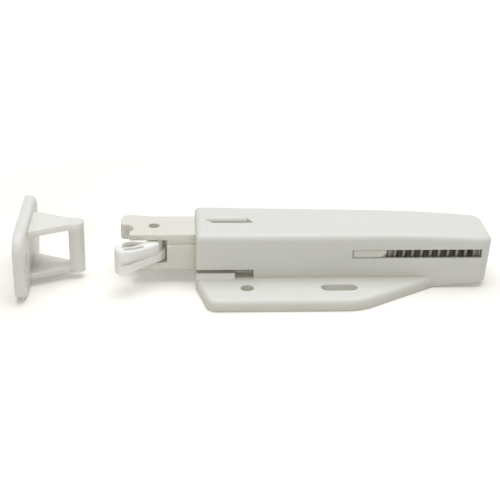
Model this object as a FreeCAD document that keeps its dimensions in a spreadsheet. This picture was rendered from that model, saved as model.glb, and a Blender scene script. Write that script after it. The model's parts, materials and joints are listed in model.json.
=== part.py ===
import FreeCAD, Part
import Sketcher
import math
import os
import re

# A push-to-open cupboard catch in millimetres: a moulded housing that is screwed to the cupboard,
# a sprung plunger with a swinging hook, and a strike with a loop that is screwed to the door.
# X runs from the housing's front face to its rear, Y = 0 is the plunger's middle line,
# and Z = 0 is the face that lies on the cupboard.

SIZES = {
    # Housing shell
    "housing_length": 86.0,
    "roof_wall": 1.2,
    "near_side": 10.95,
    "far_front": 11.3,
    "far_rear": 7.2,
    "roof_fall_start": 54.0,
    "roof_drop": 1.4,
    "rear_rise_start": 67.0,
    "rear_rise": 1.8,
    "rear_rake": 0.9,
    "rear_corner": 3.4,
    "front_corner": 0.8,
    "top_edge": 1.75,
    # Screw flange
    "flange_thick": 3.5,
    "flange_reach": 25.2,
    "flange_cut_left": 3.4,
    "flange_cut_right": 46.2,
    "flange_end": 69.0,
    "flange_left_corner": 3.0,
    "flange_right_corner": 13.5,
    "flange_edge": 1.4,
    "screw_hole": 3.8,
    "screw_line": 17.3,
    "screw_hole_place": 14.5,
    "screw_slot_place": 40.8,
    "screw_slot_length": 10.4,
    # Plunger and its channel
    "plunger_bottom": 4.4,
    "plunger_height": 10.9,
    "plunger_near": 6.9,
    "plunger_far": 7.0,
    "plunger_nose": 21.8,
    "plunger_near_tip": 19.1,
    "plunger_far_tip": 8.8,
    "plunger_taper_start": 13.0,
    "nose_corner": 2.6,
    "near_tip_corner": 1.4,
    "notch_corner": 0.7,
    "plunger_edge": 0.4,
    "plunger_wide_end": 26.0,
    "plunger_travel": 13.0,
    "slide_gap": 0.3,
    "channel_end_gap": 2.0,
    "side_ledge": 12.0,
    "side_ledge_depth": 0.7,
    "slab_top": 1.9,
    "slab_bottom": 2.1,
    "pocket_end": 8.3,
    "pocket_far_end": 14.0,
    "pocket_corner": 0.5,
    "jaw_height": 3.2,
    "jaw_edge": 0.8,
    "peg_hole": 3.2,
    "peg_hole_place": 12.0,
    # Tail, tab and window
    "tail_end": 55.0,
    "tail_far": 3.7,
    "tail_step": 1.0,
    "tab_length": 9.7,
    "tab_height": 2.3,
    "tab_chamfer": 1.5,
    "tab_below_wall": 0.25,
    "tab_middle": 10.85,
    "tab_gap": 0.2,
    "window_stop": 0.6,
    "window_wall": 1.0,
    # Slit at the foot of the near wall
    "slit_length": 16.6,
    "slit_top": 6.1,
    "slit_step": 11.3,
    "slit_front_sill": 5.0,
    "slit_ramp": 1.05,
    # Slot in the roof
    "roof_slot_front": 1.2,
    "roof_slot_end": 16.9,
    "roof_slot_far": 2.8,
    "roof_slot_near": 1.4,
    "roof_slot_lead": 3.7,
    "roof_slot_tail": 2.2,
    "roof_slot_gap": 3.0,
    # Return spring
    "spring_outside": 8.8,
    "spring_wire": 0.9,
    "spring_turns": 9.5,
    "spring_end_turns": 1.0,
    "spring_end_pitch": 1.0,
    "spring_seat_gap": 0.05,
    "spring_side_gap": 0.25,
    "rear_wall": 2.6,
    "spigot_length": 2.6,
    "spigot_gap": 0.3,
    # Catch line, notch and strike loop
    "catch_line": -1.7,
    "notch_gap": 0.6,
    "notch_depth": 3.8,
    "bar_width": 4.5,
    "bar_depth": 4.3,
    "strike_stand_off": 13.9,
    "seat_gap": 0.3,
    "loop_reach": 15.3,
    "loop_arm": 2.0,
    "loop_root_width": 14.5,
    "plate_thick": 3.0,
    "plate_width": 36.6,
    "plate_height": 19.7,
    "plate_corner": 5.0,
    "plate_edge": 0.8,
    "plate_screw_inset": 5.3,
    "plate_screw_head": 7.2,
    # Hook
    "pivot_near": 4.1,
    "knuckle": 2.1,
    "knuckle_gap": 0.3,
    "hook_open_angle": 37.0,
    "hook_height_gap": 0.3,
    "hook_head_rise": 1.2,
    "hook_head_drop": 0.75,
    "hook_back": 2.6,
    "hook_head_back": 3.4,
    "hook_heel": 1.05,
    "hook_slope_start": 9.0,
    "claw_corner": 0.9,
    "hook_edge": 0.8,
    "hook_arm_inside": 0.1,
    "claw_thick": 2.6,
    "claw_reach": 1.9,
    "claw_gap": 0.8,
    "hook_groove_width": 1.4,
    "hook_groove_depth": 0.38,
    "hook_groove_edge": 0.3,
    "hook_core_width": 1.3,
    "hook_core_depth": 2.2,
    "hook_core_start": 6.6,
    "knuckle_step": 1.5,
    "trunnion": 2.4,
    "trunnion_gap": 0.1,
    "trunnion_top": 0.9,
    # Heart track and its wire follower
    "follower_wire": 1.1,
    "follower_tip": 23.0,
    "follower_anchor": 40.0,
    "follower_line": 1.6,
    "follower_bend": 1.0,
    "follower_floor_gap": 0.3,
    "follower_anchor_depth": 1.6,
    "follower_anchor_gap": 0.05,
    "track_depth": 1.7,
    "track_gap": 0.35,
    "heart_return": 1.5,
    "heart_length": 4.7,
    "heart_notch": 1.2,
    # How far a cut reaches past the face that it opens
    "cut_over": 1.0,
}

doc = FreeCAD.newDocument("cupboard_catch")
sheet = doc.addObject("Spreadsheet::Sheet", "sizes")
for row, (name, value) in enumerate(SIZES.items(), start=1):
    sheet.set(f"A{row}", name)
    sheet.set(f"B{row}", str(value))
    sheet.setAlias(f"B{row}", name)
doc.recompute()


# Write a formula in the sheet's own names, such as "housing_length - rear_rake".
def cells(formula):
    def address(word):
        return "sizes." + word.group() if word.group() in SIZES else word.group()
    return re.sub(r"[a-z_]+", address, formula)


def size(formula):
    return float(sheet.evalExpression(cells(formula)))


# Lines that several pieces share.
channel_near = "(-plunger_near - slide_gap)"
channel_far = "(plunger_far + slide_gap)"
channel_floor = "(plunger_bottom - slide_gap)"
channel_roof = "(plunger_bottom + plunger_height + slide_gap)"
housing_top = "(plunger_bottom + plunger_height + slide_gap + roof_wall)"
rear_top = "(plunger_bottom + plunger_height + slide_gap + roof_wall - roof_drop)"
chamber_end = "(housing_length - rear_wall)"
plunger_top = "(plunger_bottom + plunger_height)"
pocket_floor = "(plunger_bottom + slab_bottom)"
pocket_roof = "(plunger_bottom + plunger_height - slab_top)"
tail_floor = "(plunger_bottom + tail_step)"
tail_roof = "(plunger_bottom + plunger_height - tail_step)"
middle_height = "(plunger_bottom + plunger_height / 2)"
bay_near = "(window_wall - near_side)"
bay_start = "(tail_end - tab_length - tab_gap)"
spring_line = "(window_wall - near_side + spring_side_gap + spring_outside / 2)"
notch_radius = "(bar_width / 2 + notch_gap)"
notch_end = "(-plunger_nose + notch_depth)"
pivot_x = "(-pocket_end - knuckle_gap - knuckle)"
pivot_y = "(-pivot_near)"
bar_front = "(-plunger_nose + notch_depth - seat_gap - strike_stand_off)"
plate_front = "(-plunger_nose + notch_depth - seat_gap - strike_stand_off - loop_reach)"
claw_inside = "(-plunger_nose + notch_depth - seat_gap - bar_depth - claw_gap)"


def new_body(name):
    body = doc.addObject("PartDesign::Body", name)
    body.Label = name
    return body


# A sketch on one of the body's own origin planes, moved along that plane's normal.
def new_sketch(body, name, role, offset="0"):
    sketch = body.newObject("Sketcher::SketchObject", name)
    plane = next(item for item in body.Origin.OriginFeatures if item.Role == role)
    sketch.AttachmentSupport = [(plane, "")]
    sketch.MapMode = "FlatFace"
    sketch.setExpression("AttachmentOffset.Base.z", cells(offset))
    return sketch


def fix_point(sketch, number, corner, x, y):
    for kind, formula in (("DistanceX", x), ("DistanceY", y)):
        index = sketch.addConstraint(Sketcher.Constraint(kind, -1, 1, number, corner, size(formula)))
        sketch.setExpression(f"Constraints[{index}]", cells(formula))


# The arc from one point to the next, turning left (counter-clockwise) or right.
def arc_between(start, end, radius, turn):
    chord = end - start
    half = chord.Length / 2
    rise = math.sqrt(max(radius ** 2 - half ** 2, 0))
    left = FreeCAD.Vector(-chord.y, chord.x, 0).normalize()
    centre = (start + end) * 0.5 + left * rise * turn
    first, last = (start, end) if turn > 0 else (end, start)
    angles = [math.atan2(point.y - centre.y, point.x - centre.x) for point in (first, last)]
    circle = Part.Circle(centre, FreeCAD.Vector(0, 0, 1), radius)
    return Part.ArcOfCircle(circle, angles[0], angles[1])


# An outline through points given as formulas, closed or left open as a path. arcs holds, for each
# side that is round, its turn (1 left, -1 right) and its radius, or None for a half circle.
def outline(sketch, points, arcs=None, closed=True):
    arcs = arcs or {}
    places = [FreeCAD.Vector(size(x), size(y), 0) for x, y in points]
    sides = []
    for index, start in enumerate(places if closed else places[:-1]):
        end = places[(index + 1) % len(places)]
        if index not in arcs:
            sides.append((sketch.addGeometry(Part.LineSegment(start, end), False), 1, 2))
            continue
        turn, radius = arcs[index]
        bend = size(radius) if radius else (end - start).Length / 2
        number = sketch.addGeometry(arc_between(start, end, bend, turn), False)
        sides.append((number, 1, 2) if turn > 0 else (number, 2, 1))
    for index, (number, begin, finish) in enumerate(sides):
        half_circle = index in arcs and not arcs[index][1]
        kind = "Tangent" if half_circle else "Coincident"
        if closed or index:
            before = sides[index - 1]
            sketch.addConstraint(Sketcher.Constraint(kind, before[0], before[2], number, begin))
        if index in arcs and arcs[index][1]:
            radius = arcs[index][1]
            rule = sketch.addConstraint(Sketcher.Constraint("Radius", number, size(radius)))
            sketch.setExpression(f"Constraints[{rule}]", cells(radius))
        fix_point(sketch, number, begin, *points[index])
    if not closed:
        fix_point(sketch, sides[-1][0], sides[-1][2], *points[-1])


def rectangle(sketch, x_low, x_high, y_low, y_high):
    outline(sketch, [(x_low, y_low), (x_high, y_low), (x_high, y_high), (x_low, y_high)])


def circle(sketch, x, y, diameter):
    centre = FreeCAD.Vector(size(x), size(y), 0)
    ring = Part.Circle(centre, FreeCAD.Vector(0, 0, 1), size(diameter) / 2)
    number = sketch.addGeometry(ring, False)
    fix_point(sketch, number, 3, x, y)
    rule = sketch.addConstraint(Sketcher.Constraint("Diameter", number, size(diameter)))
    sketch.setExpression(f"Constraints[{rule}]", cells(diameter))


# A slot with round ends, lying along the sketch's first axis.
def stadium(sketch, x_low, x_high, y, width):
    low, high = f"{y} - {width} / 2", f"{y} + {width} / 2"
    left, right = f"{x_low} + {width} / 2", f"{x_high} - {width} / 2"
    points = [(left, low), (right, low), (right, high), (left, high)]
    outline(sketch, points, {1: (1, None), 3: (1, None)})


def pad(body, sketch, name, length, reverse=False):
    feature = body.newObject("PartDesign::Pad", name)
    feature.Profile = sketch
    feature.setExpression("Length", cells(length))
    feature.Reversed = reverse
    doc.recompute()
    return feature


# A pocket has to take material away, or it points the wrong way.
def pocket(body, sketch, name, depth, reverse=False):
    before = body.Shape.Volume
    feature = body.newObject("PartDesign::Pocket", name)
    feature.Profile = sketch
    feature.setExpression("Length", cells(depth))
    feature.Reversed = reverse
    doc.recompute()
    if body.Shape.Volume >= before:
        raise RuntimeError(f"{name} cuts nothing")
    return feature


# A fillet, or a chamfer, on the edges that pass the test.
def fillet(body, name, radius, test, kind="Fillet", measure="Radius"):
    base = body.Tip
    found = [f"Edge{n}" for n, edge in enumerate(base.Shape.Edges, start=1) if test(edge)]
    if not found:
        raise RuntimeError(f"{name} finds no edge")
    feature = body.newObject(f"PartDesign::{kind}", name)
    feature.Base = (base, found)
    feature.setExpression(measure, cells(radius))
    doc.recompute()
    return feature


def chamfer(body, name, width, test):
    return fillet(body, name, width, test, "Chamfer", "Size")


# Points closer than this count as one place.
touch = 0.01


def near(a, b):
    return abs(a - b) < touch


# Tests that pick an edge by where its ends lie.
def ends_at(x=None, y=None, z=None):
    wanted = [None if formula is None else size(formula) for formula in (x, y, z)]

    def test(edge):
        for vertex in edge.Vertexes:
            point = (vertex.X, vertex.Y, vertex.Z)
            if any(w is not None and not near(p, w) for p, w in zip(point, wanted)):
                return False
        return True
    return test


def any_of(*tests):
    return lambda edge: any(test(edge) for test in tests)


def upright(edge):
    return edge.BoundBox.ZLength > max(edge.BoundBox.XLength, edge.BoundBox.YLength)


# Housing: one moulding, open at the front, with the screw flange along its near side.
def make_housing():
    body = new_body("housing")
    outside_near = "-near_side"

    plan = new_sketch(body, "housing_plan", "XY_Plane")
    outline(plan, [("0", outside_near), ("housing_length", outside_near),
                   ("housing_length", "far_rear"), ("0", "far_front")])
    pad(body, plan, "housing_block", housing_top)

    # The roof falls in a long arc towards the rear, and the underside rises behind the flange.
    side = "near_side + cut_over"
    across = "near_side + far_front + 2 * cut_over"
    fall = new_sketch(body, "roof_fall_line", "XZ_Plane", side)
    run = "(housing_length - roof_fall_start)"
    outline(fall, [("roof_fall_start", housing_top), ("housing_length", rear_top),
                   ("housing_length + cut_over", rear_top),
                   ("housing_length + cut_over", f"{housing_top} + cut_over"),
                   ("roof_fall_start", f"{housing_top} + cut_over")],
            {0: (-1, f"({run} * {run} + roof_drop * roof_drop) / (2 * roof_drop)")})
    pocket(body, fall, "roof_fall", across)
    rise = new_sketch(body, "rear_rise_line", "XZ_Plane", side)
    outline(rise, [("rear_rise_start", "0"), ("rear_rise_start", "-cut_over"),
                   ("housing_length + cut_over", "-cut_over"),
                   ("housing_length + cut_over", rear_top), ("housing_length", rear_top),
                   ("housing_length - rear_rake", "rear_rise")])
    pocket(body, rise, "rear_rake_and_rise", across)

    rear = size("housing_length - rear_rake")
    fillet(body, "rear_corners", "rear_corner",
           lambda edge: upright(edge) and edge.BoundBox.XMin > rear - touch)
    fillet(body, "front_corners", "front_corner", lambda edge: upright(edge) and ends_at(x="0")(edge))
    lowest = size(rear_top)
    fillet(body, "roof_edges", "top_edge", lambda edge: edge.BoundBox.ZMin > lowest - touch)

    flange = new_sketch(body, "flange_plan", "XY_Plane")
    inside = "-near_side + flange_thick"
    outline(flange, [("0", outside_near), ("flange_cut_left", "-flange_reach"),
                     ("flange_cut_right", "-flange_reach"), ("flange_end", outside_near),
                     ("flange_end", inside), ("0", inside)])
    pad(body, flange, "flange", "flange_thick")
    for side in ("left", "right"):
        fillet(body, f"flange_{side}_round", f"flange_{side}_corner",
               ends_at(f"flange_cut_{side}", "-flange_reach"))
    rim = size("-near_side")
    on_top = ends_at(z="flange_thick")
    fillet(body, "flange_edges", "flange_edge",
           lambda edge: on_top(edge) and edge.BoundBox.YMin < rim - touch)

    holes = new_sketch(body, "screw_hole_plan", "XY_Plane", "flange_thick")
    circle(holes, "screw_hole_place", "-screw_line", "screw_hole")
    stadium(holes, "(screw_slot_place - screw_slot_length / 2)",
            "(screw_slot_place + screw_slot_length / 2)", "-screw_line", "screw_hole")
    pocket(body, holes, "screw_holes", "flange_thick")

    # The plunger's channel, behind it the lower chamber of the tail, and beside that the bay of the
    # return spring, close behind the near wall.
    mouth = new_sketch(body, "channel_section", "YZ_Plane")
    rectangle(mouth, channel_near, channel_far, channel_floor, channel_roof)
    pocket(body, mouth, "channel", "plunger_wide_end + plunger_travel + channel_end_gap", True)
    chamber = new_sketch(body, "chamber_section", "YZ_Plane")
    rectangle(chamber, channel_near, "tail_far + slide_gap", f"{tail_floor} - slide_gap",
              f"{tail_roof} + slide_gap")
    pocket(body, chamber, "tail_chamber", chamber_end, True)
    bay = new_sketch(body, "spring_bay_section", "YZ_Plane", chamber_end)
    rectangle(bay, bay_near, f"{channel_near} + slide_gap", f"{tail_floor} - slide_gap",
              f"{tail_roof} + slide_gap")
    pocket(body, bay, "spring_bay", f"{chamber_end} - {bay_start}")
    spigot = new_sketch(body, "rear_spigot_section", "YZ_Plane", chamber_end)
    circle(spigot, spring_line, middle_height, "spring_outside - 2 * spring_wire - 2 * spigot_gap")
    pad(body, spigot, "rear_spigot", "spigot_length", True)

    window = new_sketch(body, "window_outline", "XZ_Plane", "near_side")
    rectangle(window, bay_start, f"{chamber_end} - window_stop",
              "tab_middle - tab_height / 2 - tab_gap", "tab_middle + tab_height / 2 + tab_gap")
    pocket(body, window, "window", "window_wall")

    # The slit: in front a ramp leads up to its sill, and behind the step it is open down to the flange.
    slit = new_sketch(body, "slit_outline", "XZ_Plane", "near_side + cut_over")
    outline(slit, [("-cut_over", "slit_front_sill"), ("slit_step", "slit_front_sill"),
                   ("slit_step", "flange_thick"), ("slit_length", "flange_thick"),
                   ("slit_length", "slit_top"), ("-cut_over", "slit_top")])
    pocket(body, slit, "slit", "near_side - plunger_near - slide_gap + cut_over")
    ramp = new_sketch(body, "slit_ramp_section", "YZ_Plane")
    outline(ramp, [("-near_side", "flange_thick - flange_edge"), ("-near_side", "slit_front_sill"),
                   ("-near_side - slit_ramp", "flange_thick"),
                   ("-near_side - slit_ramp", "flange_thick - flange_edge")])
    pad(body, ramp, "slit_ramp_strip", "slit_step")

    # A slot in the roof, and the far lip that rolls down into it.
    slot = new_sketch(body, "roof_slot_plan", "XY_Plane", f"{housing_top} + cut_over")
    outline(slot, [("roof_slot_front", "roof_slot_far"),
                   ("roof_slot_front + roof_slot_lead", "-roof_slot_near"),
                   ("roof_slot_end", "-roof_slot_near"),
                   ("roof_slot_end - roof_slot_tail", "roof_slot_far")])
    pocket(body, slot, "roof_slot", "roof_wall + cut_over")
    lip = new_sketch(body, "roof_lip_section", "YZ_Plane", "roof_slot_front")
    reach = "(roof_slot_far + roof_slot_near - roof_slot_gap)"
    outline(lip, [("roof_slot_far", housing_top), ("roof_slot_gap - roof_slot_near", channel_roof),
                  ("roof_slot_far", channel_roof)],
            {0: (1, f"({reach} * {reach} + roof_wall * roof_wall) / (2 * roof_wall)")})
    pad(body, lip, "roof_lip", "roof_slot_end - roof_slot_front")

    # A groove in the floor holds the follower's wire, and a blind hole its bent end.
    groove = new_sketch(body, "wire_groove_plan", "XY_Plane", channel_floor)
    room = "follower_wire / 2 + track_gap"
    stadium(groove, f"(follower_tip - {room} - follower_bend)", f"(follower_anchor + {room})",
            "follower_line", "(follower_wire + 2 * track_gap)")
    pocket(body, groove, "wire_groove", "follower_wire + 2 * follower_floor_gap")
    anchor = new_sketch(body, "anchor_hole_plan", "XY_Plane", channel_floor)
    circle(anchor, "follower_anchor", "follower_line", "follower_wire + 2 * follower_anchor_gap")
    pocket(body, anchor, "anchor_hole",
           "follower_wire + 2 * follower_floor_gap + follower_anchor_depth")
    return body


# Plunger: a clevis at the front for the hook, a sliding body, and a tail that meets the spring.
def make_plunger():
    body = new_body("plunger")
    far_wall = "-pocket_far_end"

    plan = new_sketch(body, "plunger_plan", "XY_Plane", "plunger_bottom")
    outline(plan, [("plunger_wide_end", "-plunger_near"), ("plunger_wide_end", "plunger_far"),
                   ("-plunger_taper_start", "plunger_far"), ("-plunger_nose", "plunger_far_tip"),
                   ("-plunger_nose", "catch_line"), ("-plunger_near_tip", "catch_line"),
                   ("-plunger_near_tip", "-plunger_near")])
    pad(body, plan, "plunger_block", "plunger_height")
    fillet(body, "nose_round", "nose_corner", ends_at("-plunger_nose", "plunger_far_tip"))
    fillet(body, "near_tip_round", "near_tip_corner", ends_at("-plunger_near_tip", "-plunger_near"))

    # The upper part of the near side stands back behind a small ledge.
    ledge = new_sketch(body, "ledge_outline", "XZ_Plane", "plunger_near")
    rectangle(ledge, "-plunger_nose - cut_over", "plunger_wide_end + cut_over", "side_ledge",
              f"{plunger_top} + cut_over")
    pocket(body, ledge, "side_step", "side_ledge_depth")

    # The notch in the nose takes the strike's bar, on the catch line.
    notch = new_sketch(body, "notch_plan", "XY_Plane", f"{plunger_top} + cut_over")
    low, high = f"catch_line - {notch_radius}", f"catch_line + {notch_radius}"
    turn = f"{notch_end} - {notch_radius}"
    outline(notch, [("-plunger_nose - cut_over", low), (turn, low), (turn, high),
                    ("-plunger_nose - cut_over", high)], {1: (1, None)})
    pocket(body, notch, "notch", "plunger_height + 2 * cut_over")
    at_tip, rounded = ends_at("-plunger_near_tip"), size("-plunger_near + near_tip_corner")
    fillet(body, "notch_corners", "notch_corner",
           any_of(ends_at("-plunger_nose", high),
                  lambda edge: upright(edge) and at_tip(edge) and edge.BoundBox.YMin > rounded + touch))
    on_top, rear = ends_at(z=plunger_top), ends_at(x="plunger_wide_end")
    fillet(body, "top_edges", "plunger_edge", lambda edge: on_top(edge) and not rear(edge))

    tail = new_sketch(body, "tail_plan", "XY_Plane", tail_floor)
    rectangle(tail, "plunger_wide_end - tail_step", "tail_end", "-plunger_near", "tail_far")
    pad(body, tail, "tail", f"{tail_roof} - {tail_floor}")
    shoulder = new_sketch(body, "shoulder_plan", "XY_Plane", tail_floor)
    rectangle(shoulder, "tail_end - tab_length", "tail_end", f"{bay_near} + slide_gap",
              "-plunger_near + tail_step")
    pad(body, shoulder, "spring_shoulder", f"{tail_roof} - {tail_floor}")
    spigot = new_sketch(body, "front_spigot_section", "YZ_Plane", "tail_end")
    circle(spigot, spring_line, middle_height, "spring_outside - 2 * spring_wire - 2 * spigot_gap")
    pad(body, spigot, "front_spigot", "spigot_length")
    tab = new_sketch(body, "tab_outline", "XZ_Plane", "plunger_near")
    low, high = "tab_middle - tab_height / 2", "tab_middle + tab_height / 2"
    outline(tab, [("tail_end - tab_length", low), ("tail_end - tab_chamfer", low),
                  ("tail_end", f"{low} + tab_chamfer"), ("tail_end", high),
                  ("tail_end - tab_length", high)])
    pad(body, tab, "tab", "near_side - tab_below_wall - plunger_near")

    # The clevis pocket goes right through below the fixed jaw, and stops at the jaw above it.
    outside = "-plunger_near - cut_over"
    jaw_face = f"catch_line + {notch_radius}"
    lower = new_sketch(body, "pocket_plan", "XY_Plane", pocket_floor)
    outline(lower, [("-plunger_nose - cut_over", outside), ("-pocket_end", outside),
                    ("-pocket_end", jaw_face), (far_wall, jaw_face),
                    (far_wall, "plunger_far_tip + cut_over"),
                    ("-plunger_nose - cut_over", "plunger_far_tip + cut_over")])
    clear = f"{pocket_roof} - {pocket_floor}"
    pocket(body, lower, "pocket_below_jaw", f"{clear} - jaw_height", True)
    upper = new_sketch(body, "jaw_pocket_plan", "XY_Plane", pocket_floor)
    rectangle(upper, "-plunger_nose - cut_over", "-pocket_end", outside, jaw_face)
    pocket(body, upper, "pocket_beside_jaw", clear, True)

    jaw_bottom = f"{pocket_roof} - jaw_height"
    nose = size("-plunger_nose + nose_corner")
    on_jaw = ends_at(z=jaw_bottom)
    fillet(body, "jaw_lower_edge", "jaw_edge",
           lambda edge: on_jaw(edge) and edge.BoundBox.XMin < nose and edge.BoundBox.XMax < nose + touch)
    fillet(body, "pocket_corner_round", "pocket_corner", ends_at(x="-pocket_end", z=pocket_floor))

    # Round sockets for the hook's trunnions: blind under the roof, through the floor.
    sockets = new_sketch(body, "socket_plan", "XY_Plane", "plunger_bottom")
    circle(sockets, pivot_x, pivot_y, "trunnion + 2 * trunnion_gap")
    depth = f"{pocket_roof} - plunger_bottom + trunnion_top + trunnion_gap"
    pocket(body, sockets, "trunnion_sockets", depth, True)
    peg = new_sketch(body, "peg_hole_plan", "XY_Plane", plunger_top)
    circle(peg, "-peg_hole_place", "0", "peg_hole")
    pocket(body, peg, "peg_hole_cut", "slab_top")

    # The heart track under the plunger: a straight lane for the way in, a return lane beside it,
    # and an island whose notch holds the follower while the catch is shut.
    lane = "(follower_wire / 2 + track_gap)"
    home = f"(follower_tip - plunger_travel - {lane})"
    track = new_sketch(body, "track_plan", "XY_Plane", "plunger_bottom")
    lane_near, lane_far = f"follower_line - {lane}", f"follower_line + {lane}"
    turn_back = f"{lane_near} - heart_return - 2 * {lane}"
    fork = f"{home} + 2 * {lane} + heart_length + 2 * {lane}"
    outline(track, [(home, turn_back), (f"{fork} - 2 * {lane}", turn_back), (fork, lane_near),
                    (f"follower_tip + {lane}", lane_near), (f"follower_tip + {lane}", lane_far),
                    (home, lane_far)])
    lobe = f"{home} + 2 * {lane}"
    middle = f"{lane_near} - heart_return / 2"
    outline(track, [(lobe, f"{lane_near}"), (f"{lobe} + heart_length", lane_near),
                    (lobe, f"{lane_near} - heart_return"), (f"{lobe} + heart_notch", middle)])
    pocket(body, track, "heart_track", "track_depth", True)
    return body


# Hook: drawn shut, with its pivot at the origin, and turned out to its open rest.
def make_hook():
    body = new_body("hook")
    low = f"({pocket_floor} + hook_height_gap)"
    high = f"({pocket_roof} - hook_height_gap)"
    claw = f"({claw_inside} - {pivot_x})"
    end = f"({claw} - claw_thick)"
    tip = "(hook_arm_inside + claw_reach)"

    knuckle = new_sketch(body, "knuckle_plan", "XY_Plane", low)
    circle(knuckle, "0", "0", "2 * knuckle")
    pad(body, knuckle, "knuckle_barrel", f"{high} - {low}")

    # The arm and claw are padded to the taller head, then trimmed to the arm's slope above and below.
    arm = new_sketch(body, "arm_plan", "XY_Plane", f"{low} - hook_head_drop")
    outline(arm, [("0", "-knuckle"), ("-hook_heel", "-hook_back"), (claw, "-hook_head_back"),
                  (end, "-hook_head_back + hook_heel"), (end, "hook_arm_inside"),
                  (f"{claw} - claw_thick / 2", tip), (claw, tip), (claw, "-hook_arm_inside"),
                  (f"{claw} / 2", "-hook_arm_inside"), ("-hook_heel", "hook_heel"), ("0", "0")])
    pad(body, arm, "arm", f"{high} - {low} + hook_head_rise + hook_head_drop")
    fillet(body, "claw_corners", "claw_corner",
           any_of(ends_at(end, "-hook_head_back + hook_heel"), ends_at(end, "hook_arm_inside"),
                  ends_at(claw, "-hook_head_back")))
    clear = "knuckle + cut_over"
    side = "hook_head_back + cut_over"
    across = f"hook_head_back + {tip} + 2 * cut_over"
    for name, face, slope in (("arm_top", high, "+ hook_head_rise"), ("arm_bottom", low, "- hook_head_drop")):
        trim = new_sketch(body, f"{name}_line", "XZ_Plane", side)
        past = f"{face} {slope} {slope[0]} cut_over"
        outline(trim, [(clear, face), ("-hook_slope_start", face), (end, f"{face} {slope}"),
                       (f"{end} - cut_over", f"{face} {slope}"),
                       (f"{end} - cut_over", past), (clear, past)])
        pocket(body, trim, f"{name}_trim", across)

    back = size("-hook_back")
    fillet(body, "back_edges", "hook_edge",
           lambda edge: not upright(edge) and edge.BoundBox.YMax < back + touch)

    # A groove parts the back of the hook into two bands, and the top is cored out.
    middle = f"(({low} + {high}) / 2)"
    band = new_sketch(body, "back_groove_outline", "XZ_Plane", side)
    rectangle(band, f"{end} - cut_over", "-hook_heel", f"{middle} - hook_groove_width / 2",
              f"{middle} + hook_groove_width / 2")
    pocket(body, band, "back_groove", "hook_groove_depth + hook_head_back - hook_back + cut_over")
    lips = [size(f"{middle} {way} hook_groove_width / 2") for way in ("-", "+")]
    fillet(body, "groove_lips", "hook_groove_edge",
           lambda edge: edge.BoundBox.YMax < back + touch and edge.BoundBox.ZLength < touch
           and any(near(edge.BoundBox.ZMin, lip) for lip in lips))
    core = new_sketch(body, "core_plan", "XY_Plane", f"{high} + hook_head_rise")
    stadium(core, f"({claw} - hook_core_width / 2)", "(-hook_core_start)", "(-hook_head_back / 2)",
            "hook_core_width")
    pocket(body, core, "top_core", "hook_core_depth + hook_head_rise")

    # The upper half of the knuckle is cut back to the trunnion.
    step = new_sketch(body, "knuckle_step_plan", "XY_Plane", middle)
    rectangle(step, "-knuckle_step", "knuckle + cut_over", "-hook_back - cut_over", "knuckle + cut_over")
    pocket(body, step, "knuckle_cut", f"{high} - {middle} + cut_over", True)

    pins = new_sketch(body, "trunnion_plan", "XY_Plane", "plunger_bottom + trunnion_gap")
    circle(pins, "0", "0", "trunnion")
    pad(body, pins, "trunnions", f"{pocket_roof} + trunnion_top - plunger_bottom - trunnion_gap")

    body.setExpression("Placement.Base.x", cells(pivot_x))
    body.setExpression("Placement.Base.y", cells(pivot_y))
    body.setExpression("Placement.Rotation.Angle", cells("hook_open_angle"))
    return body


# Strike: a screw plate with a loop that tapers to the bar that the hook takes hold of.
def make_strike():
    body = new_body("strike")
    half = "plate_width / 2"
    plate = new_sketch(body, "plate_outline", "YZ_Plane", plate_front)
    foot = f"({middle_height} - plate_height / 2)"
    rectangle(plate, f"catch_line - {half}", f"catch_line + {half}", foot, f"{foot} + plate_height")
    pad(body, plate, "plate", "plate_thick", True)
    corners = [ends_at(y=f"catch_line {way} {half}", z=height)
               for way in ("-", "+") for height in (foot, f"{foot} + plate_height")]
    fillet(body, "plate_corners", "plate_corner", any_of(*corners))
    chamfer(body, "plate_rim", "plate_edge", ends_at(x=plate_front))

    loop_floor = f"({channel_floor} - loop_arm)"
    loop_height = "(plunger_height + 2 * slide_gap + 2 * loop_arm)"
    loop = new_sketch(body, "loop_plan", "XY_Plane", loop_floor)
    root, bar = "loop_root_width / 2", "bar_width / 2"
    bar_back = f"{bar_front} - bar_depth"
    round_start = f"{bar_front} - {bar}"
    outline(loop, [(f"{plate_front} - plate_thick / 2", f"catch_line - {root}"),
                   (plate_front, f"catch_line - {root}"), (bar_back, f"catch_line - {bar}"),
                   (round_start, f"catch_line - {bar}"), (round_start, f"catch_line + {bar}"),
                   (bar_back, f"catch_line + {bar}"), (plate_front, f"catch_line + {root}"),
                   (f"{plate_front} - plate_thick / 2", f"catch_line + {root}")],
            {3: (1, None)})
    pad(body, loop, "loop", loop_height)
    window = new_sketch(body, "loop_window_outline", "XZ_Plane", f"{root} - catch_line + cut_over")
    rectangle(window, plate_front, bar_back, channel_floor, channel_roof)
    pocket(body, window, "loop_window", "loop_root_width + 2 * cut_over")

    screws = new_sketch(body, "plate_screw_outline", "YZ_Plane", plate_front)
    for way in ("-", "+"):
        circle(screws, f"catch_line {way} ({half} - plate_screw_inset)", middle_height, "screw_hole")
    pocket(body, screws, "plate_screw_holes", "plate_thick")
    front = size(plate_front)
    chamfer(body, "countersinks", "(plate_screw_head - screw_hole) / 2",
            lambda edge: edge.isClosed() and all(near(end, front)
                                                 for end in (edge.BoundBox.XMin, edge.BoundBox.XMax)))
    return body


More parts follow.
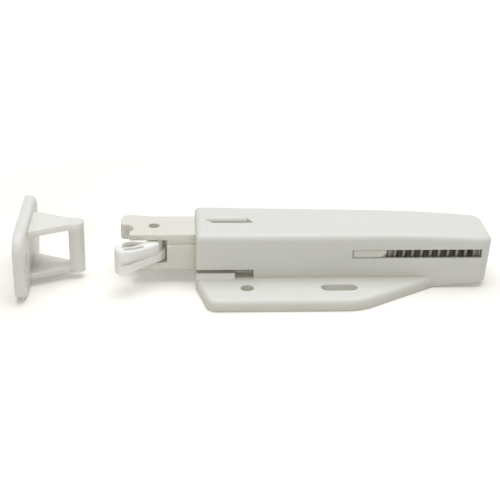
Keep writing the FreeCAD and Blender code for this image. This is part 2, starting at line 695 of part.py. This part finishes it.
# The follower is a bent steel wire: its tip stands in the heart track, its other end in the floor.
def make_cam_follower():
    body = new_body("cam_follower")
    line_z = f"({channel_floor} - follower_floor_gap - follower_wire / 2)"
    tip_z = "(plunger_bottom + track_depth - track_gap)"
    end_z = f"({line_z} - follower_wire / 2 - follower_floor_gap - follower_anchor_depth)"
    path = new_sketch(body, "wire_path", "XZ_Plane", "-follower_line")
    outline(path, [("follower_tip", tip_z), ("follower_tip", f"{line_z} + follower_bend"),
                   ("follower_tip + follower_bend", line_z), ("follower_anchor - follower_bend", line_z),
                   ("follower_anchor", f"{line_z} - follower_bend"), ("follower_anchor", end_z)],
            {1: (1, "follower_bend"), 3: (-1, "follower_bend")}, False)
    section = new_sketch(body, "wire_section", "XY_Plane", tip_z)
    wide, short = "follower_wire / 2", "follower_wire / 2 * (sqrt(2) - 1)"
    corners = [(wide, short), (short, wide), (f"-{short}", wide), (f"-{wide}", short),
               (f"-{wide}", f"-{short}"), (f"-{short}", f"-{wide}"), (short, f"-{wide}"), (wide, f"-{short}")]
    outline(section, [(f"follower_tip + {x}", f"follower_line + {y}") for x, y in corners])
    wire = body.newObject("PartDesign::AdditivePipe", "wire")
    wire.Profile = section
    wire.Spine = path
    doc.recompute()
    return body


# The return spring: open turns between closed ends, wound along X. Its round wire is drawn with
# flats, in short straight steps.
def make_spring():
    sides, steps = 6, 16
    front = size("tail_end + spring_seat_gap")
    rear = size(f"{chamber_end} - spring_seat_gap")
    wire = size("spring_wire")
    radius = size("spring_outside / 2 - spring_wire / 2")
    turns, end_turns = size("spring_turns"), size("spring_end_turns")
    end_pitch = size("spring_end_pitch")
    pitch = (rear - front - wire - 2 * end_turns * end_pitch) / turns
    places = []
    for number in range(round((turns + 2 * end_turns) * steps) + 1):
        turned = number / steps
        opened = min(max(turned - end_turns, 0), turns)
        height = opened * pitch + (turned - opened) * end_pitch
        angle = 2 * math.pi * turned
        places.append(FreeCAD.Vector(radius * math.cos(angle), radius * math.sin(angle), height))
    heading = (places[1] - places[0]).normalize()
    outward = places[0] - heading * places[0].dot(heading)
    corner = outward.normalize() * (wire / 2 / math.cos(math.pi / sides))
    section = []
    for number in range(sides + 1):
        turn = FreeCAD.Rotation(heading, 360 * number / sides)
        section.append(places[0] + turn.multVec(corner))
    mitred = 1
    coil = Part.makePolygon(places).makePipeShell([Part.makePolygon(section)], True, True, mitred)
    spring = doc.addObject("Part::Feature", "return_spring")
    spring.Shape = coil
    spring.Label = "return_spring"
    place = FreeCAD.Vector(front + wire / 2, size(spring_line), size(middle_height))
    spring.Placement = FreeCAD.Placement(place, FreeCAD.Rotation(FreeCAD.Vector(0, 1, 0), 90))
    return spring


pieces = [make_housing(), make_plunger(), make_hook(), make_spring(), make_cam_follower(), make_strike()]
doc.recompute()

for item in doc.Objects:
    if "Invalid" in item.State or "Error" in item.State:
        raise RuntimeError(f"{item.Name} failed: {item.State}")
for piece in pieces:
    if piece.Shape.isNull() or not piece.Shape.isValid():
        raise RuntimeError(f"{piece.Label} has no valid shape")

os.makedirs("parts", exist_ok=True)
for piece in pieces:
    piece.Shape.exportStep(f"parts/{piece.Label}.step")
    print(piece.Label, len(piece.Shape.Solids), round(piece.Shape.Volume, 1))
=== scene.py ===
import bpy
import json
import math
from mathutils import Matrix, Vector


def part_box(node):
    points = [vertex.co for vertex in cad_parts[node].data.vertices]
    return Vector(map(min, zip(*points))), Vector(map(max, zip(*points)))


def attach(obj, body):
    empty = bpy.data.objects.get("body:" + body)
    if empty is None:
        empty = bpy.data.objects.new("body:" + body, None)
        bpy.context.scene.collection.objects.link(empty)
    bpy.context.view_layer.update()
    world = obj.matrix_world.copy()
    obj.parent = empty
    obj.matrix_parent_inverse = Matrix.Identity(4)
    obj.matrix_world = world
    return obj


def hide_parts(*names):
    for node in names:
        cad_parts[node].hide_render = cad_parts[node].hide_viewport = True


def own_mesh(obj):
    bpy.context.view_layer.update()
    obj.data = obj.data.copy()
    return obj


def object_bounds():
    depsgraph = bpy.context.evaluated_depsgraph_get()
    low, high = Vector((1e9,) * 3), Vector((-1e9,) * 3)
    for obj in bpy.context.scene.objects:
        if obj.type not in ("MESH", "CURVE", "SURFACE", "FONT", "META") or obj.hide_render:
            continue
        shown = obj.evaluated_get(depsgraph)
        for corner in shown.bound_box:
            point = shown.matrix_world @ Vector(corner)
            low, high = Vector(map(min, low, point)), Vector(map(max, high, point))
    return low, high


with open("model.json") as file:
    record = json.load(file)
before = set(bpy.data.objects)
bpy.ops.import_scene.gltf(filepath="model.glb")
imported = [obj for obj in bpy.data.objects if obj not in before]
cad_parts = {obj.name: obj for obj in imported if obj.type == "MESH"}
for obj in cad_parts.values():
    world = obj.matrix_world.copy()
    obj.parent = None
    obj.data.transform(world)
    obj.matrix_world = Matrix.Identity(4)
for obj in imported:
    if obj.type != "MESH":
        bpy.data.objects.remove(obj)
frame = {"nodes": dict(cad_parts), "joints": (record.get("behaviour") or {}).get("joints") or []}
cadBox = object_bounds()
nodes = frame["nodes"]
print("frame loaded:", len(nodes), "nodes")


# a socket that can be used in sums, so that shader maths reads as maths
class Wire:
    def __init__(self, tree, socket):
        self.tree = tree
        self.socket = socket

    def maths(self, operation, first, second):
        made = self.tree.nodes.new("ShaderNodeMath")
        made.operation = operation
        plug(self.tree, made.inputs[0], first)
        plug(self.tree, made.inputs[1], second)
        return Wire(self.tree, made.outputs[0])

    def __add__(self, other):
        return self.maths("ADD", self, other)

    def __radd__(self, other):
        return self.maths("ADD", other, self)

    def __sub__(self, other):
        return self.maths("SUBTRACT", self, other)

    def __rsub__(self, other):
        return self.maths("SUBTRACT", other, self)

    def __mul__(self, other):
        return self.maths("MULTIPLY", self, other)

    def __rmul__(self, other):
        return self.maths("MULTIPLY", other, self)


def plug(tree, place, value):
    if isinstance(value, Wire):
        tree.links.new(value.socket, place)
    else:
        place.default_value = value


# one node tree and the shader that its nodes feed
class Nodes:
    mixSockets = {"share": 0, "first": 6, "second": 7, "result": 2}  # a colour mix's own sockets

    def __init__(self, tree, shader):
        self.tree = tree
        self.shader = tree.nodes[shader]

    def node(self, kind, settings, sockets, out=0):
        made = self.tree.nodes.new(kind)
        for name, value in settings.items():
            setattr(made, name, value)
        for name, value in sockets.items():
            plug(self.tree, made.inputs[name], value)
        return Wire(self.tree, made.outputs[out])

    def mix(self, share, first, second, blend="MIX"):
        at = self.mixSockets
        return self.node(
            "ShaderNodeMix", {"data_type": "RGBA", "blend_type": blend},
            {at["share"]: share, at["first"]: first, at["second"]: second}, at["result"])

    def rays(self, kinds):
        return sum(self.node("ShaderNodeLightPath", {}, {}, kind) for kind in kinds)

    def feed(self, sockets):
        for name, value in sockets.items():
            plug(self.tree, self.shader.inputs[name], value)


# one finish: a material that a mesh can wear
class Finish(Nodes):
    def __init__(self, name):
        self.material = bpy.data.materials.new(name)
        self.material.use_nodes = True
        super().__init__(self.material.node_tree, "Principled BSDF")

    def place(self):
        return self.node("ShaderNodeTexCoord", {}, {}, "Object")

    def noise(self, scale, detail, roughness, stretch=(1, 1, 1)):
        spot = self.node("ShaderNodeMapping", {}, {"Vector": self.place(), "Scale": stretch})
        return self.node("ShaderNodeTexNoise", {}, {
            "Vector": spot, "Scale": scale, "Detail": detail, "Roughness": roughness})

    def wear(self, mesh):
        mesh.materials.clear()
        mesh.materials.append(self.material)


# moulded plastic: satin skin, flow streaks along the mould, edges with a painted highlight and lower
# roughness, recesses with painted shade, darker and warmer
plasticLook = {
    "streakDetail": 3.0, "streakRough": 0.55, "grainDetail": 2.0, "grainRough": 0.6,
    # the edge entries set the painted highlight along edges, its white tint and how much it lowers roughness
    "edgeSamples": 6, "rimShine": 0.1, "rimTint": (1, 1, 1, 1),
    # the recess entries set the reach, samples and warm dark tint of the painted shade in recesses
    "recessSamples": 8, "paintedShadeTint": (0.90, 0.84, 0.74, 1),
    "ior": 1.48, "glowRadius": (1.0, 0.94, 0.84),
}


def mouldedPlastic(name, look):
    look = plasticLook | look
    finish = Finish(name)
    streak = finish.noise(look["cloudScale"], look["streakDetail"], look["streakRough"], look["flow"])
    speck = finish.noise(look["grainScale"], look["grainDetail"], look["grainRough"])
    edge = finish.node("ShaderNodeBevel", {"samples": look["edgeSamples"]}, {"Radius": look["edge"]})
    face = finish.node("ShaderNodeNewGeometry", {}, {}, "Normal")
    alike = finish.node("ShaderNodeVectorMath", {"operation": "DOT_PRODUCT"}, {0: edge, 1: face}, "Value")
    # painted highlight: a mask along convex edges that lightens the colour there and lowers roughness
    rim = (1 - alike) * look["rim"]  # grows where the bevel turns away from the face
    # painted shade: ambient occlusion marks recesses, which are then painted darker and warmer
    bare = finish.node(
        "ShaderNodeAmbientOcclusion", {"samples": look["recessSamples"]}, {"Distance": look["recess"]}, "AO")
    colour = finish.mix(streak, look["shade"], look["tint"])
    # painted highlight: edges are soft-lit towards white
    colour = finish.mix(rim, colour, look["rimTint"], "SOFT_LIGHT")
    # painted shade: recesses are multiplied by a warm dark tint
    colour = finish.mix((1 - bare) * look["paintedShadeAmount"], colour, look["paintedShadeTint"], "MULTIPLY")
    rough = look["rough"] + (speck - 0.5) * look["roughSpread"] - rim * look["rimShine"]
    skin = finish.node("ShaderNodeBump", {}, {
        "Strength": look["bump"], "Distance": look["bumpDepth"], "Height": speck, "Normal": edge})
    finish.feed({"Base Color": colour, "Roughness": rough, "Normal": skin, "IOR": look["ior"]})
    finish.feed({
        "Subsurface Weight": look["glow"], "Subsurface Scale": look["glowDepth"],
        "Subsurface Radius": look["glowRadius"]})
    return finish


# drawn steel wire with fine streaks
def drawnWire(name, look):
    finish = Finish(name)
    streak = finish.noise(look["streakScale"], look["streakDetail"], look["streakRough"])
    colour = finish.mix(streak, look["shade"], look["tint"])
    rough = look["rough"] + (streak - 0.5) * look["roughSpread"]
    finish.feed({"Base Color": colour, "Roughness": rough, "Metallic": look["metal"]})
    return finish


# each plastic look below also sets how strong the painted edge highlight and the painted shade in recesses
# are
housingLook = {
    "shade": (0.685, 0.69, 0.655, 1), "tint": (0.715, 0.72, 0.685, 1),
    "cloudScale": 60.0, "flow": (0.4, 2, 2), "rim": 1.0, "recess": 0.004, "paintedShadeAmount": 0.9,
    "grainScale": 5200.0, "rough": 0.46, "roughSpread": 0.12,
    "edge": 0.0004, "bump": 0.25, "bumpDepth": 0.00004, "glow": 0.3, "glowDepth": 0.0025,
}
mouldedPlastic("housingPlastic", housingLook).wear(nodes["housing"].data)

plungerLook = {
    "shade": (0.705, 0.70, 0.635, 1), "tint": (0.735, 0.73, 0.665, 1),
    "cloudScale": 80.0, "flow": (0.2, 4, 4), "rim": 1.0, "recess": 0.004, "paintedShadeAmount": 0.9,
    "grainScale": 4200.0, "rough": 0.36, "roughSpread": 0.10,
    "edge": 0.0004, "bump": 0.15, "bumpDepth": 0.00003, "glow": 0.4, "glowDepth": 0.003,
}
mouldedPlastic("plungerPlastic", plungerLook).wear(nodes["plunger"].data)

hookLook = {
    "shade": (0.90, 0.90, 0.875, 1), "tint": (0.92, 0.92, 0.895, 1),
    "cloudScale": 90.0, "flow": (0.5, 2, 2), "rim": 0.8, "recess": 0.003, "paintedShadeAmount": 0.6,
    "grainScale": 4200.0, "rough": 0.38, "roughSpread": 0.10,
    "edge": 0.0005, "bump": 0.15, "bumpDepth": 0.00003, "glow": 0.5, "glowDepth": 0.003,
}
mouldedPlastic("hookPlastic", hookLook).wear(nodes["hook"].data)

strikeLook = {
    "shade": (0.70, 0.697, 0.664, 1), "tint": (0.73, 0.727, 0.694, 1),
    "cloudScale": 70.0, "flow": (1, 1, 1), "rim": 0.8, "recess": 0.003, "paintedShadeAmount": 0.6,
    "grainScale": 4600.0, "rough": 0.42, "roughSpread": 0.10,
    "edge": 0.0005, "bump": 0.18, "bumpDepth": 0.00003, "glow": 0.9, "glowDepth": 0.006,
}
mouldedPlastic("strikePlastic", strikeLook).wear(nodes["strike"].data)
print("plastics set")

# the return spring: round wire with closed ends, wound between the CAD coil's own ends
springLook = {
    "wire": 0.00115, "slack": 0.00002, "turns": 9.5, "endTurns": 1.0, "endPitch": 0.0013,
    "steps": 44, "sides": 12,
    "shade": (0.25, 0.22, 0.185, 1), "tint": (0.34, 0.31, 0.265, 1),
    "streakScale": 900.0, "streakDetail": 2.0, "streakRough": 0.5,
    "rough": 0.4, "roughSpread": 0.2, "metal": 0.3,
}


def coilSpring(look):
    low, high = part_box("return_spring")
    centre = (low + high) / 2
    radius = (high.z - low.z) / 2 - look["wire"] / 2 - look["slack"]
    openPitch = (high.x - low.x - look["wire"] - 2 * look["endTurns"] * look["endPitch"]) / look["turns"]
    points, faces = [], []
    count = round((look["turns"] + 2 * look["endTurns"]) * look["steps"])
    for number in range(count + 1):
        turned = number / look["steps"]
        opened = min(max(turned - look["endTurns"], 0), look["turns"])  # turns past the closed end
        along = low.x + look["wire"] / 2 + opened * openPitch + (turned - opened) * look["endPitch"]
        turn = -2 * math.pi * turned
        outward = Vector((0, math.sin(turn), -math.cos(turn)))
        middle = Vector((along, centre.y, centre.z)) + outward * radius
        for side in range(look["sides"]):
            angle = 2 * math.pi * side / look["sides"]
            spoke = outward * math.cos(angle) + Vector((math.sin(angle), 0, 0))
            points.append(middle + spoke * look["wire"] / 2)
    for number in range(count):
        first, second = number * look["sides"], (number + 1) * look["sides"]
        for side in range(look["sides"]):
            after = (side + 1) % look["sides"]
            faces.append((first + side, first + after, second + after, second + side))
    last = count * look["sides"]
    faces.append(tuple(reversed(range(look["sides"]))))
    faces.append(tuple(range(last, last + look["sides"])))
    mesh = bpy.data.meshes.new("springWire")
    mesh.from_pydata(points, [], faces)
    mesh.shade_smooth()
    coil = bpy.data.objects.new("springWire", mesh)
    bpy.context.scene.collection.objects.link(coil)
    return coil


spring = coilSpring(springLook)
drawnWire("springSteel", springLook).wear(spring.data)
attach(spring, "housing")
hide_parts("return_spring")
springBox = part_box("return_spring")
slide = next(joint for joint in frame["joints"] if joint["name"] == "plunger_slide")
springLength = springBox[1].x - springBox[0].x
(springLength - slide["range_m"][1]) / springLength
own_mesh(spring)
print("spring wound")

# the bent wire that runs in the heart track
followerLook = {
    "shade": (0.42, 0.42, 0.41, 1), "tint": (0.55, 0.55, 0.54, 1),
    "streakScale": 900.0, "streakDetail": 2.0, "streakRough": 0.5,
    "rough": 0.3, "roughSpread": 0.2, "metal": 1.0,
}
drawnWire("followerSteel", followerLook).wear(nodes["cam_follower"].data)
print("wires set")

# rays that meet the white background: the eye's, and those off or through the object
backdropRays = ("Is Camera Ray", "Is Glossy Ray", "Is Transmission Ray")

# floor: pale paint that keeps the shadow, lifted to white, and more so far from the object
floorLook = {
    "size": 6.0, "drop": 0.00002, "paint": (0.85, 0.832, 0.785, 1), "rough": 0.9,
    "lift": 0.2, "farLift": 1.0, "fadeFrom": 0.1, "fadeTo": 0.5,
}
half = floorLook["size"] / 2
corners = [(-half, -half, 0), (half, -half, 0), (half, half, 0), (-half, half, 0)]
floorMesh = bpy.data.meshes.new("floor")
floorMesh.from_pydata(corners, [], [(0, 1, 2, 3)])
floor = bpy.data.objects.new("floor", floorMesh)
bpy.context.scene.collection.objects.link(floor)
floor.location.z = cadBox[0].z - floorLook["drop"]
floorFinish = Finish("floorPaint")
reach = floorFinish.node("ShaderNodeVectorMath", {"operation": "LENGTH"}, {0: floorFinish.place()}, "Value")
lift = floorFinish.node("ShaderNodeMapRange", {}, {
    "Value": reach, "From Min": floorLook["fadeFrom"], "From Max": floorLook["fadeTo"],
    "To Min": floorLook["lift"], "To Max": floorLook["farLift"]})
lift = lift * floorFinish.rays(backdropRays)
floorFinish.feed({
    "Base Color": floorLook["paint"], "Roughness": floorLook["rough"], "Specular IOR Level": 0.0,
    "Emission Color": floorFinish.mix(lift, (0, 0, 0, 1), (1, 1, 1, 1)), "Emission Strength": 1.0})
floorFinish.wear(floorMesh)

# soft studio light: an even white room, a wide lamp above and a weak one in line with the camera
roomLook = {"light": 0.2, "colour": (1, 1, 1, 1)}
world = bpy.data.worlds.new("room")
bpy.context.scene.world = world
world.use_nodes = True
room = Nodes(world.node_tree, "Background")
strength = roomLook["light"] + room.rays(backdropRays) * (1 - roomLook["light"])
room.feed({"Color": roomLook["colour"], "Strength": strength})

lampLooks = [
    {"name": "topLamp", "at": (0.05, 0.09, 0.72), "to": (0.02, 0, 0), "size": 0.8, "power": 5.5},
    {"name": "frontLamp", "at": (-0.04, -0.46, 0.225), "to": (0.02, 0, 0), "size": 0.05, "power": 0.48},
]
for look in lampLooks:
    light = bpy.data.lights.new(look["name"], "AREA")
    light.shape = "SQUARE"
    light.size = look["size"]
    light.energy = look["power"]
    lamp = bpy.data.objects.new(look["name"], light)
    lamp.location = look["at"]
    lamp.rotation_mode = "QUATERNION"
    lamp.rotation_quaternion = (Vector(look["to"]) - Vector(look["at"])).to_track_quat("-Z", "Y")
    bpy.context.scene.collection.objects.link(lamp)
print("floor and lamps set")

# camera at the photograph's angle
cameraLook = {
    "at": (-0.00414, -0.30991, 0.15343),
    "right": (0.9982, -0.0557, 0.0206), "up": (0.0051, 0.4263, 0.9046),
    "lens": 83.48, "sensor": 36.0, "nearest": 0.01, "farthest": 20.0,
}
lens = bpy.data.cameras.new("camera")
lens.lens = cameraLook["lens"]
lens.sensor_width = cameraLook["sensor"]
lens.clip_start = cameraLook["nearest"]
lens.clip_end = cameraLook["farthest"]
camera = bpy.data.objects.new("camera", lens)
right = Vector(cameraLook["right"]).normalized()
up = Vector(cameraLook["up"]).normalized()
turn = Matrix((right, up, right.cross(up))).transposed().to_4x4()
camera.matrix_world = Matrix.Translation(cameraLook["at"]) @ turn
bpy.context.scene.collection.objects.link(camera)
bpy.context.scene.camera = camera
bpy.context.scene.view_settings.view_transform = "Standard"
print("camera set")

bpy.context.view_layer.update()
